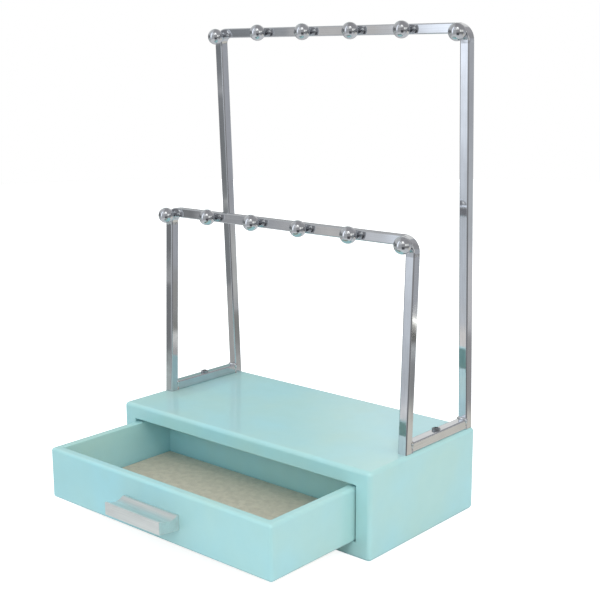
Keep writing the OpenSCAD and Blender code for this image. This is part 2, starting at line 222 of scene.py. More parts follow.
def lacquer(name, nodes, edge_radius):
    """Covers the boards of a rounded box with pale aqua lacquer: clouded colour, roller mottle, pale edges
    that are partly a thin coat and partly a painted highlight, and orange peel over a slow swell."""
    look = bpy.context.scene.stand_lacquer
    material, tree, shader, place = new_finish(name)
    clouds = remap(tree, noise(tree, place, look.cloud_size, detail=3.0), *CRISP)
    colour = mix_colours(tree, clouds, look.cool_colour, look.warm_colour)
    roller = noise(tree, place, look.mottle_size, detail=4.0, roughness=0.6)
    mottle = remap(tree, roller, *GENTLE, 0.0, look.mottle_share)
    colour = mix_colours(tree, mottle, colour, look.deep_colour)
    # Pale rounded edges: partly a thinner coat there and partly a painted highlight, broken into spots by
    # noise
    edge = rounded_edge_share(tree, place, *joint_box(nodes), edge_radius)
    spots = noise(tree, place, look.thin_spot_size, detail=5.0, roughness=0.65)
    thin = remap(tree, spots, *THIN_SPOTS, look.thin_spot_least, 1.0)
    thin_coat_and_highlight = calculate(tree, "MULTIPLY", calculate(tree, "MULTIPLY", edge, thin), look.edge_share)
    colour = mix_colours(tree, thin_coat_and_highlight, colour, look.thin_coat_and_highlight_colour)
    swell = bump(tree, noise(tree, place, look.swell_size), look.swell_depth)
    normal = bump(tree, noise(tree, place, look.peel_size, detail=1.0), look.peel_depth, swell)
    patches = noise(tree, place, look.satin_patch_size, detail=4.0)
    gloss = remap(tree, patches, *GENTLE, look.satin, look.satin + look.satin_spread)
    connect(tree, shader, Base_Color=colour, Roughness=gloss, Normal=normal, Coat_Weight=look.coat)
    connect(tree, shader, Coat_Roughness=look.coat_roughness, Coat_Normal=normal)
    cover(material, nodes)


def chrome(name, ripple_size, ripple_depth, run=None, bar_z=None, bend_x=None):
    """Polished chrome plate: long ripples that bend its reflections, smudges, and on a tube the streaks of
    its drawing, which run along one axis. From the height bar_z up, on a frame's top bar, they run along X,
    and the tube is wrinkled in the bends, which start bend_x from the middle."""
    look = bpy.context.scene.stand_chrome
    material, tree, shader, place = new_finish(name)
    smudge = noise(tree, place, look.smudge_size, detail=4.0, roughness=0.6)
    wear = remap(tree, smudge, *SMUDGES)
    normal = bump(tree, noise(tree, place, ripple_size, detail=1.0), ripple_depth)
    if run:
        drawn = streaks(tree, place, look.streak_width, look.streak_stretch, run)
        if bar_z:
            x, _, z = split_axes(tree, place)
            along_bar = streaks(tree, place, look.streak_width, look.streak_stretch)
            drawn = mix_numbers(tree, calculate(tree, "GREATER_THAN", z, bar_z), drawn, along_bar)
            beyond = remap(tree, calculate(tree, "ABSOLUTE", x), bend_x, bend_x + look.bend_fade)
            bent = calculate(tree, "MULTIPLY", beyond, remap(tree, z, bar_z - look.bend_fade, bar_z))
            creases = noise(tree, place, look.wrinkle_size, detail=1.0)
            normal = bump(tree, calculate(tree, "MULTIPLY", bent, creases), look.wrinkle_depth, normal)
        wear = mix_numbers(tree, look.streak_share, wear, remap(tree, drawn, *CRISP))
        normal = bump(tree, drawn, look.streak_depth, normal)
    colour = mix_colours(tree, wear, look.colour, look.dull_colour)
    roughness = remap(tree, smudge, *SMUDGE_GLOSS, look.roughness, look.dull_roughness)
    connect(tree, shader, Base_Color=colour, Roughness=roughness, Normal=normal, Metallic=1.0)
    return material


def weld_metal():
    """Plated weld metal: duller chrome with brown heat tint in patches."""
    look, clean = bpy.context.scene.stand_welds, bpy.context.scene.stand_chrome.colour
    material, tree, shader, place = new_finish("weld_metal")
    patches = remap(tree, noise(tree, place, look.patch_size, detail=3.0, roughness=0.6), *HEAT_PATCHES)
    colour = mix_colours(tree, patches, clean, look.heat_colour)
    roughness = mix_numbers(tree, patches, look.roughness, look.heat_roughness)
    normal = bump(tree, noise(tree, place, look.grain_size, detail=3.0, roughness=0.7), look.grain_depth)
    connect(tree, shader, Base_Color=colour, Roughness=roughness, Normal=normal, Metallic=1.0)
    return material


def brushed_metal(name, colour, dark_colour, roughness, brushing, depth):
    """Metal brushed along X: fine streaks over broad ones in its colour and gloss, and the fine ones in its
    height."""
    fine_stretch, broad_width, broad_stretch, broad_share = 60, 7, 90 / 7, 0.4
    dull, bright = roughness * 1.25, roughness * 0.8
    material, tree, shader, place = new_finish(name)
    fine = streaks(tree, place, brushing, fine_stretch)
    broad = streaks(tree, place, brushing * broad_width, broad_stretch, detail=2.0, roughness=0.5)
    brushed = mix_numbers(tree, broad_share, fine, broad)
    shade = mix_colours(tree, remap(tree, brushed, *CRISP), dark_colour, colour)
    gloss = remap(tree, brushed, *GENTLE, dull, bright)
    normal = bump(tree, fine, depth)
    connect(tree, shader, Base_Color=shade, Roughness=gloss, Normal=normal, Metallic=1.0)
    return material


def raw_birch():
    """Raw birch plywood: rings stretched along X into long grain, with fine pores."""
    look = bpy.context.scene.stand_wood
    material, tree, shader, place = new_finish("raw_birch")
    rings = streaks(tree, place, look.grain_size, look.grain_stretch, detail=4.0, roughness=0.6)
    pores = streaks(tree, place, look.pore_size, look.pore_stretch, detail=2.0, roughness=0.5)
    colour = mix_colours(tree, remap(tree, rings, *CRISP), look.pale_colour, look.grain_colour)
    normal = bump(tree, pores, look.pore_depth)
    connect(tree, shader, Base_Color=colour, Roughness=look.roughness, Normal=normal)
    return material


def velvet():
    """Crushed velvet: its nap lies one way or the other, as the mesh's nap attribute says, and each way has
    its own shade. Fine noise makes the pile."""
    look = bpy.context.scene.stand_lining
    material, tree, shader, place = new_finish("mottled_velvet")
    nap = add_node(tree, "ShaderNodeAttribute", attribute_name="nap").outputs["Fac"]
    fleck = noise(tree, place, look.fleck_size, detail=3.0, roughness=0.65)
    lie = remap(tree, mix_numbers(tree, look.fleck_share, nap, fleck), *NAP_SHADES)
    colour = mix_colours(tree, lie, look.dark_colour, look.pale_colour)
    pile = noise(tree, place, look.pile_size, roughness=0.7)
    shade = remap(tree, pile, *PILE_SHADES, 0.0, look.pile_share)
    colour = mix_colours(tree, shade, colour, look.dark_colour)
    normal = bump(tree, pile, look.pile_depth)
    connect(tree, shader, Base_Color=colour, Roughness=look.roughness, Normal=normal)
    connect(tree, shader, Sheen_Weight=look.sheen, Sheen_Roughness=look.sheen_roughness)
    connect(tree, shader, Sheen_Tint=look.sheen_colour)
    return material


# Meshes


def grid_faces(rows, columns, closed_rows=False):
    """The quads of a grid of points, counted along its columns first. Closed rows join the last to the
    first."""
    r = np.arange(rows if closed_rows else rows - 1)[:, None]
    c = np.arange(columns - 1)[None, :]
    here, after = r * columns + c, (r + 1) % rows * columns + c
    return np.stack([here, after, after + 1, here + 1], axis=-1).reshape(-1, 4)


def new_piece(name, points, quads, caps):
    """A smooth mesh object from an array of points, an array of quads and a few faces with more corners."""
    mesh = bpy.data.meshes.new(name)
    mesh.from_pydata(points.tolist(), [], quads.tolist() + [list(c) for c in caps])
    mesh.validate()
    mesh.polygons.foreach_set("use_smooth", [True] * len(mesh.polygons))
    piece = bpy.data.objects.new(name, mesh)
    bpy.context.scene.collection.objects.link(piece)
    return piece


def round_corners(outline, sharp, reach, steps):
    """Rounds the sharp points of a closed outline by arcs that touch both sides at the reach from the corner.
    With h half the corner's angle, the arc's centre is reach / cos h from the corner along its bisector."""
    before, after = np.roll(outline, 1, axis=0) - outline, np.roll(outline, -1, axis=0) - outline
    before /= np.linalg.norm(before, axis=1, keepdims=True)
    after /= np.linalg.norm(after, axis=1, keepdims=True)
    bisector = (before + after) / np.linalg.norm(before + after, axis=1, keepdims=True)
    centre = outline + reach * bisector / np.sum(before * bisector, axis=1, keepdims=True)
    start, end = outline + reach * before - centre, outline + reach * after - centre
    cosine = np.sum(start * end, axis=1) / np.sum(start * start, axis=1)
    sweep = np.arccos(np.clip(cosine, -1, 1))[:, None, None]
    t = np.linspace(0, 1, steps + 1)[None, :, None]
    curve = (np.sin((1 - t) * sweep) * start[:, None] + np.sin(t * sweep) * end[:, None]) / np.sin(sweep)
    curve += centre[:, None]
    curve[~sharp] = outline[~sharp][:, None]
    return curve[sharp[:, None] | (np.arange(steps + 1) == 0)[None, :]]


def inset_sweep(outline, length, bevel, steps):
    """Carries a closed outline, drawn anticlockwise, along X. Near both ends it shrinks along its own normals
    to round them: at x = half - bevel + bevel sin a it is inset by bevel (1 - cos a)."""
    tangent = np.roll(outline, -1, axis=0) - np.roll(outline, 1, axis=0)
    tangent /= np.linalg.norm(tangent, axis=1, keepdims=True)
    inward = np.stack([-tangent[:, 1], tangent[:, 0]], axis=1)
    angle = np.linspace(0, np.pi / 2, steps + 1)
    at = length / 2 - bevel + bevel * np.sin(angle)
    inset = bevel * (1 - np.cos(angle))
    x = np.concatenate([-at[::-1], at])
    inset = np.concatenate([inset[::-1], inset])
    section = outline[:, None] + inward[:, None] * inset[None, :, None]
    return np.concatenate([np.broadcast_to(x[None, :, None], section.shape[:2] + (1,)), section], axis=-1)


def section_at(outline, x):
    """One column of a sweep along X: the outline at x."""
    return np.insert(outline, 0, x, axis=1)[:, None]


def merge_doubles(mesh, distance):
    """Joins the points that share a place. The faces between them, which have no area, go."""
    joined = bmesh.new()
    joined.from_mesh(mesh)
    bmesh.ops.remove_doubles(joined, verts=joined.verts, dist=distance)
    joined.to_mesh(mesh)
    joined.free()


def arc(centre, radius, first, last, count):
    """Points on a circle from one angle to another."""
    angle = np.linspace(first, last, count)
    return np.stack([centre[0] + radius * np.cos(angle), centre[1] + radius * np.sin(angle)], axis=1)


def weld_bead(look, x, foot_z, top_z, foot_y, top_y, seed):
    """A bead over a butt joint of square tube: up one side, across the top and down the other side. The path
    follows |u|^n + |v|^n = 1, a rounded box, and the section is an ellipse that stands little proud of the
    sides and fully proud of the top. At a distance s along the path the section is larger by the share
    ripple |sin(pi (s / pitch + start))|, whose start is random."""
    half_w, height = (x[1] - x[0]) / 2, top_z - foot_z
    a = np.linspace(0, np.pi, look.rings)
    power = 2 / look.squareness
    u = np.sign(np.cos(a)) * np.abs(np.cos(a)) ** power
    v = np.abs(np.sin(a)) ** power
    path_x, path_z = (x[0] + x[1]) / 2 + half_w * u, foot_z + height * v
    along = np.concatenate([[0], np.cumsum(np.hypot(np.diff(path_x), np.diff(path_z)))])
    start = np.random.default_rng(seed).uniform(-0.5, 0.5)
    swell = 1 + look.ripple * np.abs(np.sin(np.pi * (along / look.pitch + start)))
    side_end, top_start = 0.55, 0.9
    on_top = np.clip((v - side_end) / (top_start - side_end), 0, 1)
    proud = (look.side_height + (look.top_height - look.side_height) * on_top) * swell
    wide = (look.side_width + (look.top_height - look.side_width) * on_top) * swell
    normal = np.stack([np.gradient(path_z, along), -np.gradient(path_x, along)], axis=1)
    normal /= np.linalg.norm(normal, axis=1, keepdims=True)
    turn = np.linspace(0, 2 * np.pi, look.facets, endpoint=False)[:, None]
    px = path_x + proud * np.cos(turn) * normal[:, 0]
    pz = path_z + proud * np.cos(turn) * normal[:, 1]
    py = foot_y + (top_y - foot_y) * v + wide * np.sin(turn)
    return np.stack([px, py, np.maximum(pz, foot_z)], axis=-1).reshape(-1, 3)


def band_noise(columns, rows, step, feature, seed):
    """A random field on a grid, from -1 to 1, whose features are about this many metres across. White noise
    is filtered by a ring of frequencies, a bell round one cycle in two features, and cut off at a few
    standard deviations."""
    white = np.random.default_rng(seed).standard_normal((rows, columns))
    fy = np.fft.fftfreq(rows, step)[:, None]
    fx = np.fft.fftfreq(columns, step)[None, :]
    wanted = 1 / (2 * feature)
    bell_width, deviations = 0.55 * wanted, 2.2
    band = np.exp(-(((np.hypot(fx, fy) - wanted) / bell_width) ** 2))
    field = np.fft.ifft2(np.fft.fft2(white) * band).real
    return np.clip(field / (deviations * field.std()), -1, 1)


# Settings


def colour_setting(name, description, *colour):
    """An opaque colour with a swatch."""
    return bpy.props.FloatVectorProperty(
        name=name, description=description, default=colour + (1.0,), subtype="COLOR", size=4, min=0, max=1)


def length_setting(name, description, default):
    """A length, shown down to micrometres."""
    return bpy.props.FloatProperty(
        name=name, description=description, default=default, unit="LENGTH", precision=6)


def share_setting(name, description, default):
    """A number from 0 to 1, with a slider."""
    return bpy.props.FloatProperty(
        name=name, description=description, default=default, subtype="FACTOR", min=0, max=1)


class StandLacquer(bpy.types.PropertyGroup):
    """The lacquer on the cabinet and the drawer."""

    cool_colour: colour_setting("Cool colour", "Lacquer where it looks bluest", 0.395, 0.71, 0.775)
    warm_colour: colour_setting("Warm colour", "Lacquer where it looks greenest", 0.44, 0.70, 0.69)
    deep_colour: colour_setting("Deep colour", "Lacquer where the coat is thickest", 0.36, 0.63, 0.66)
    # The edge colour, edge share, edge reaches and thin spots make the pale rounded edges: partly a thin coat
    # and partly a painted highlight
    thin_coat_and_highlight_colour: colour_setting("Edge colour", "Lacquer where it is thin over an edge", 0.62, 0.80, 0.81)
    edge_share: share_setting("Edge share", "How much the thin edges show", 0.06)
    cabinet_edge: length_setting("Cabinet edge", "Reach of the thin coat over the cabinet's edges", 0.004)
    drawer_edge: length_setting("Drawer edge", "Reach of the thin coat over the drawer's edges", 0.003)
    thin_spot_size: length_setting("Thin spot size", "Width of a thin spot on an edge", 0.004)
    thin_spot_least: share_setting("Least thinness", "How thin an edge's coat is between the spots", 0.15)
    cloud_size: length_setting("Cloud size", "Width of a patch of one hue", 0.09)
    mottle_size: length_setting("Mottle size", "Width of a roller mark", 0.016)
    mottle_share: share_setting("Mottle share", "How much the roller marks show", 0.22)
    peel_size: length_setting("Peel size", "Width of an orange peel dimple", 0.0014)
    peel_depth: length_setting("Peel depth", "Depth of an orange peel dimple", 0.000012)
    swell_size: length_setting("Swell size", "Width of a slow swell in the coat", 0.0126)
    swell_depth: length_setting("Swell depth", "Depth of a slow swell in the coat", 0.00006)
    satin: share_setting("Satin", "Roughness under the clear coat", 0.34)
    satin_spread: share_setting("Satin spread", "How much rougher the dullest patches are", 0.08)
    satin_patch_size: length_setting("Satin patch size", "Width of a duller patch", 0.0272)
    coat: share_setting("Coat", "Weight of the clear coat", 0.9)
    coat_roughness: share_setting("Coat roughness", "Roughness of the clear coat", 0.04)


class StandChrome(bpy.types.PropertyGroup):
    """The chrome plate on the tubes and the balls."""

    colour: colour_setting("Colour", "Clean chrome", 0.66, 0.68, 0.71)
    dull_colour: colour_setting("Dull colour", "Chrome under a smudge", 0.56, 0.57, 0.59)
    roughness: share_setting("Roughness", "Roughness of clean chrome", 0.035)
    dull_roughness: share_setting("Dull roughness", "Roughness of chrome under a smudge", 0.091)
    smudge_size: length_setting("Smudge size", "Width of a smudge", 0.018)
    streak_width: length_setting("Streak width", "Width of a streak along a tube", 0.0011)
    streak_stretch: bpy.props.FloatProperty(
        name="Streak stretch", description="Length of a streak over its width", default=80, min=1)
    streak_share: share_setting("Streak share", "Share of the streaks in a tube's dull look", 0.6)
    streak_depth: length_setting("Streak depth", "Depth of a streak along a tube", 0.000001)
    tube_ripple_size: length_setting("Tube ripple size", "Width of a ripple in a tube's face", 0.030)
    tube_ripple_depth: length_setting("Tube ripple depth", "Depth of a ripple in a tube's face", 0.00012)
    wrinkle_size: length_setting("Wrinkle size", "Width of a wrinkle in a bend", 0.007)
    wrinkle_depth: length_setting("Wrinkle depth", "Depth of a wrinkle in a bend", 0.0006)
    bend_fade: length_setting("Bend fade", "Distance over which the wrinkles fade in", 0.004)
    ball_ripple_size: length_setting("Ball ripple size", "Width of a ripple in a ball", 0.0075)
    ball_ripple_depth: length_setting("Ball ripple depth", "Depth of a ripple in a ball", 0.00001)


class StandWelds(bpy.types.PropertyGroup):
    """The weld beads at the ends of the foot rails."""

    top_height: length_setting("Top height", "Radius of a bead on top of a rail", 0.0015)
    side_height: length_setting("Side height", "How far a bead stands proud of a rail's side", 0.00025)
    side_width: length_setting("Side width", "Half the width of a bead on a rail's side", 0.0009)
    pitch: length_setting("Pitch", "Distance between a bead's ripples", 0.0012)
    ripple: share_setting("Ripple", "How much a ripple swells the bead", 0.12)
    squareness: bpy.props.FloatProperty(
        name="Squareness", description="How closely a bead follows the tube's corners", default=9.0, min=2)
    rings: bpy.props.IntProperty(name="Rings", description="Sections along a bead", default=160, min=20)
    facets: bpy.props.IntProperty(
        name="Facets", description="Points round a bead's section", default=16, min=6)
    heat_colour: colour_setting("Heat colour", "Heat tint on a weld", 0.50, 0.47, 0.40)
    patch_size: length_setting("Patch size", "Width of a patch of heat tint", 0.003)
    roughness: share_setting("Roughness", "Roughness of a clean weld", 0.12)
    heat_roughness: share_setting("Heat roughness", "Roughness of a tinted patch", 0.3)
    grain_size: length_setting("Grain size", "Width of a grain in the weld", 0.0009)
    grain_depth: length_setting("Grain depth", "Depth of a grain in the weld", 0.00003)


class StandHandle(bpy.types.PropertyGroup):
    """The section of the handle and the walls at its ends."""

    lip_thickness: length_setting("Lip thickness", "Thickness of the front lip", 0.0022)
    lip_height: length_setting("Lip height", "Height of the front lip", 0.0117)
    plate_thickness: length_setting("Plate thickness", "Thickness of the back plate", 0.0025)
    bridge_thickness: length_setting("Bridge thickness", "Thickness of the hollowed bridge", 0.0022)
    hollow_depth: length_setting("Hollow depth", "Depth of the hollow along the top", 0.003)
    edge_radius: length_setting("Edge radius", "Rounding of the edges", 0.0005)
    end_radius: length_setting("End radius", "Rounding of the ends' edges", 0.0003)
    end_thickness: length_setting("End thickness", "Thickness of the walls that close the ends", 0.0022)
    arc_points: bpy.props.IntProperty(name="Arc points", description="Points on each arc", default=17, min=5)
    corner_steps: bpy.props.IntProperty(
        name="Corner steps", description="Faces round each softened edge", default=4, min=2)
    crease_angle: bpy.props.FloatProperty(
        name="Crease angle", description="Turn between faces that shows as an edge", subtype="ANGLE",
        default=math.radians(50))


class StandMetal(bpy.types.PropertyGroup):
    """The brushed handle and the screws."""

    aluminium: colour_setting("Aluminium", "Bright streaks of the handle", 0.95, 0.945, 0.92)
    aluminium_dark: colour_setting("Dark aluminium", "Dark streaks of the handle", 0.80, 0.80, 0.79)
    zinc: colour_setting("Zinc", "Zinc plate of the handle screws and the studs", 0.55, 0.56, 0.57)
    dark_zinc: colour_setting("Dark zinc", "Dark plate of the rail screws", 0.44, 0.47, 0.50)
    brushing: length_setting("Brushing", "Width of one brushed streak", 0.0005)
    brush_depth: length_setting("Brush depth", "Depth of a brushed streak", 0.000008)
    brushed_roughness: share_setting("Brushed roughness", "Roughness of the handle", 0.38)
    tool_mark: length_setting("Tool mark", "Width of a tool mark on a screw", 0.0008)


class StandWood(bpy.types.PropertyGroup):
    """The raw wood of the drawer's floor and the dowels."""

    pale_colour: colour_setting("Pale colour", "Wood between the grain lines", 0.68, 0.53, 0.34)
    grain_colour: colour_setting("Grain colour", "Wood in the grain lines", 0.50, 0.35, 0.19)
    grain_size: length_setting("Grain size", "Width of a grain line", 0.004)
    grain_stretch: bpy.props.FloatProperty(
        name="Grain stretch", description="Length of a grain line over its width", default=14, min=1)
    pore_size: length_setting("Pore size", "Width of a pore", 0.0006)
    pore_stretch: bpy.props.FloatProperty(
        name="Pore stretch", description="Length of a pore over its width", default=20, min=1)
    pore_depth: length_setting("Pore depth", "Depth of a pore", 0.00008)
    roughness: share_setting("Roughness", "Roughness of the wood", 0.72)


class StandLining(bpy.types.PropertyGroup):
    """The velvet lining on the drawer's floor."""

    pale_colour: colour_setting("Pale colour", "Velvet whose nap faces the light", 0.600, 0.555, 0.458)
    dark_colour: colour_setting("Dark colour", "Velvet whose nap faces away", 0.510, 0.475, 0.392)
    step: length_setting("Step", "Distance between the sheet's points", 0.001)
    nap_size: length_setting("Nap size", "Width of a crushed patch of nap", 0.006)
    nap_depth: length_setting("Nap depth", "Height of the nap's relief", 0.00035)
    wave_size: length_setting("Wave size", "Width of a wave of the sheet", 0.040)
    wave_depth: length_setting("Wave depth", "Height of a wave of the sheet", 0.0003)
    edge_radius: length_setting("Edge radius", "Rounding of the pile over the sheet's edges", 0.003)
    fleck_size: length_setting("Fleck size", "Width of a fleck in the colour", 0.005)
    fleck_share: share_setting("Fleck share", "Share of the flecks in the shade", 0.5)
    pile_size: length_setting("Pile size", "Width of a tuft of pile", 0.0007)
    pile_depth: length_setting("Pile depth", "Depth of a tuft of pile", 0.00035)
    pile_share: share_setting("Pile share", "How much the tufts darken the colour", 0.35)
    roughness: share_setting("Roughness", "Roughness of the velvet", 0.95)
    sheen: share_setting("Sheen", "Weight of the velvet's sheen", 0.25)
    sheen_roughness: share_setting("Sheen roughness", "Spread of the velvet's sheen", 0.45)
    sheen_colour: colour_setting("Sheen colour", "Colour of the velvet's sheen", 1.0, 0.97, 0.9)


class StandStudio(bpy.types.PropertyGroup):
    """The camera, the paper floor and the lights."""

    camera_place: bpy.props.FloatVectorProperty(
        name="Camera place", description="Where the camera stands", subtype="XYZ", size=3, unit="LENGTH",
        default=(0.7161, -0.8086, 0.4302))
    camera_azimuth: bpy.props.FloatProperty(
        name="Camera azimuth", description="Turn of the camera round the object", subtype="ANGLE",
        default=math.radians(41.14))
    camera_elevation: bpy.props.FloatProperty(
        name="Camera elevation", description="Downward tilt of the camera", subtype="ANGLE",
        default=math.radians(12.13))
    camera_roll: bpy.props.FloatProperty(
        name="Camera roll", description="Turn of the camera about its view", subtype="ANGLE",
        default=math.radians(-0.27))
    lens: bpy.props.FloatProperty(
        name="Lens", description="Focal length on a 36 mm sensor, in millimetres", default=68.08)
    floor_radius: length_setting("Floor radius", "Radius of the round floor", 3.0)
    paper_colour: colour_setting("Paper colour", "Colour of the floor's paper", 0.74, 0.76, 0.79)
    paper_glow: bpy.props.FloatProperty(
        name="Paper glow", description="Glow that lifts the paper to white for the camera", default=0.82)
    fibre_size: length_setting("Fibre size", "Width of a fibre in the paper", 0.002)
    fibre_depth: length_setting("Fibre depth", "Depth of a fibre in the paper", 0.00004)
    clear_start: length_setting(
        "Clear start", "Distance at which mirrors start to see through the floor", 0.26)
    clear_end: length_setting(
        "Clear end", "Distance from which mirrors see only the room through the floor", 0.32)
    fill: bpy.props.FloatProperty(
        name="Fill", description="Strength of the light from all round", default=1.12)
    cool_light: colour_setting("Cool light", "Colour of the light from the front left", 0.75, 0.94, 1.0)
    warm_light: colour_setting("Warm light", "Colour of the light from the back right", 0.73, 0.69, 0.64)
    key_power: bpy.props.FloatProperty(
        name="Key power", description="Power of the high soft box", default=12.2, unit="POWER")
    low_power: bpy.props.FloatProperty(
        name="Low power", description="Power of the low soft box at the front right", default=2.6,
        unit="POWER")
    side_power: bpy.props.FloatProperty(
        name="Side power", description="Power of the right soft box", default=3.5, unit="POWER")


# The studio


# Where the warm half of the light comes from: the right, the back and above.
WARM_SIDE = (0.7, 0.45, 0.55)

# The soft boxes: name, place, width, height, colour, and the setting that holds the power.
SOFT_BOXES = [
    ("key_box", (1.0, -1.15, 2.0), 0.8, 0.8, (1.0, 0.89, 0.79), "key_power"),
    ("low_box", (0.7, -1.3, 0.75), 1.0, 0.4, (0.58, 0.87, 1.0), "low_power"),
    ("right_box", (1.6, 0.2, 0.9), 0.8, 0.8, (0.95, 1.0, 0.97), "side_power"),
]

# The colour of the room that only mirrors see, where no panel covers it.
ROOM_COLOUR = (0.40, 0.395, 0.405)

# Each wall, window or dark corner of that room: its azimuth, counted from the front to the right, and its
# soft edge, its elevation and its soft edge, all in degrees, and its colour. Later ones cover earlier ones.
PANORAMA = [
    # Far below, and low at the back, where one panel crosses 180 degrees and is written as two
    ((-180, 180), 1, (-90, -30), 20, (0.74, 0.75, 0.76)),
    ((160, 195), 8, (-42, -4), 6, (0.74, 0.75, 0.77)),
    ((-195, -160), 8, (-42, -4), 6, (0.74, 0.75, 0.77)),
    # The left
    ((-112, -44.2), 2, (-14.4, 12), 0.8, (0.24, 0.245, 0.25)),
    ((-112, -41.2), 1.5, (-3.4, 12), 1, (0.21, 0.22, 0.225)),
    ((-112, -46.8), 0.8, (-8.0, -7.1), 0.3, (0.64, 0.64, 0.64)),
    ((-46, -42.5), 1, (-14.2, -6.4), 0.8, (0.225, 0.235, 0.235)),
    ((-46, -43), 1, (-4.9, -4.2), 0.4, (0.50, 0.50, 0.50)),
    ((-46, -43), 1, (-10.4, -9.9), 0.4, (0.64, 0.64, 0.61)),
    ((-112, -46.9), 0.8, (-20, -11.6), 0.15, (0.56, 0.62, 0.60)),
    ((-46, -43), 2, (-30, -14.5), 0.4, (0.52, 0.51, 0.475)),
    # The front left
    ((-112, -20), 8, (16, 70), 12, (0.62, 0.63, 0.64)),
    ((-40, -18), 13, (-26, 52), 6, (0.68, 0.72, 0.77)),
    ((-41, -37.2), 3, (-9, 20), 4, (0.68, 0.66, 0.64)),
    ((-36.0, -18), 4, (-7, 52), 9, (1.36, 1.43, 1.54)),
    ((-41, -36.4), 1.5, (-3.6, 20), 1, (0.70, 0.68, 0.66)),
    ((-37.4, -34.6), 0.6, (-18, -13.6), 0.5, (1.08, 1.06, 1.04)),
    ((-34, -30), 1, (-20, -16.8), 0.6, (0.92, 0.88, 0.84)),
    # The front
    ((-18, 24), 6, (-20, 30), 8, (0.50, 0.51, 0.52)),
    ((-8, 10), 4, (20, 56), 5, (0.90, 0.92, 0.94)),
    # The front right
    ((20, 39), 3, (26, 60), 5, (1.25, 1.25, 1.22)),
    ((44, 62), 3, (28, 58), 5, (1.25, 1.25, 1.22)),
    ((35, 50), 2, (43, 58), 2, (2.2, 2.2, 2.1)),
    ((26, 66), 9, (-44, -10), 7, (0.10, 0.10, 0.11)),
    # The right
    ((60, 124), 6, (-22, -3), 6, (0.26, 0.26, 0.26)),
    ((68, 92), 3, (1, 24), 4, (1.15, 1.15, 1.10)),
    ((97, 120), 3, (0, 20), 4, (1.00, 1.00, 0.95)),
    # The back right
    ((124, 156), 5, (-17, 10), 4, (0.49, 0.50, 0.53)),
    ((128, 133.8), 1, (-12.6, -10.7), 0.6, (0.39, 0.385, 0.37)),
    ((133.8, 139), 1, (-12.3, -8), 1.5, (0.61, 0.61, 0.59)),
    ((126, 139), 2, (-14.1, -12.7), 0.4, (0.31, 0.31, 0.29)),
    ((126, 133.8), 1, (-14.2, -13.65), 0.3, (1.15, 1.15, 1.1)),
    ((126, 133.8), 1, (-18, -14.2), 0.3, (0.52, 0.51, 0.50)),
    ((133.8, 139), 1, (-14.9, -14.1), 0.5, (0.43, 0.43, 0.41)),
    ((133.8, 139), 1, (-18, -14.9), 0.5, (0.53, 0.53, 0.50)),
    ((139, 146), 1, (-13.32, -13.02), 0.2, (3.0, 2.95, 2.7)),
    ((139, 146), 1, (-14.3, -13.32), 0.15, (0.20, 0.195, 0.18)),
    ((139, 146), 1, (-14.95, -14.25), 0.3, (0.61, 0.63, 0.63)),
    ((139, 146), 1, (-17.5, -14.95), 0.3, (0.345, 0.35, 0.35)),
    ((146, 156), 1, (-4.6, 6), 2, (0.53, 0.54, 0.565)),
    ((146, 156), 1, (-9.3, -4.4), 2, (0.60, 0.62, 0.64)),
    ((146, 156), 1, (-13.7, -9.3), 1, (0.735, 0.72, 0.725)),
    ((146, 156), 1, (-17.4, -13.7), 0.5, (0.40, 0.39, 0.39)),
    ((126, 156), 5, (-34, -17.5), 0.8, (0.80, 0.77, 0.69)),
    # The back left, and high at the back
    ((-180, -100), 10, (-14, 13), 6, (0.42, 0.42, 0.43)),
    ((-176, -104), 10, (13, 40), 4, (0.92, 0.92, 0.90)),
    ((-141, -118), 5, (12, 28), 5, (0.36, 0.50, 0.49)),
    ((156, 180), 10, (8, 60), 12, (0.50, 0.49, 0.50)),
]


def between(tree, value, span, soft):
    """1 inside a span of degrees and 0 outside it, with edges that are this many degrees wide."""
    low, high = (math.radians(degrees) for degrees in span)
    half = math.radians(soft) / 2
    rise = remap(tree, value, low - half, low + half)
    fall = remap(tree, value, high - half, high + half, 1.0, 0.0)
    return calculate(tree, "MULTIPLY", rise, fall)


def panorama_group():
    """What a mirror in the studio sees in a direction: the room with the panels of PANORAMA."""
    group = bpy.data.node_groups.new("studio_panorama", "ShaderNodeTree")
    group.interface.new_socket("Direction", in_out="INPUT", socket_type="NodeSocketVector")
    group.interface.new_socket("Colour", in_out="OUTPUT", socket_type="NodeSocketColor")
    entry = group.nodes.new("NodeGroupInput")
    leave = group.nodes.new("NodeGroupOutput")
    x, y, z = split_axes(group, calculate_vector(group, "NORMALIZE", entry.outputs[0]))
    azimuth = calculate(group, "ARCTAN2", x, calculate(group, "MULTIPLY", y, -1.0))
    elevation = calculate(group, "ARCSINE", z)
    colour = ROOM_COLOUR + (1,)
    for turn, turn_soft, rise, rise_soft, panel in PANORAMA:
        across = between(group, azimuth, turn, turn_soft)
        share = calculate(group, "MULTIPLY", across, between(group, elevation, rise, rise_soft))
        colour = mix_colours(group, share, colour, panel + (1,))
    group.links.new(colour, leave.inputs[0])
    return group


def ray_kinds(tree):
    """1 for rays from the camera, and 1 for mirror or see-through rays."""
    path = tree.nodes.new("ShaderNodeLightPath")
    mirrored = calculate(tree, "MAXIMUM", path.outputs["Is Glossy Ray"], path.outputs["Is Transmission Ray"])
    return path.outputs["Is Camera Ray"], mirrored


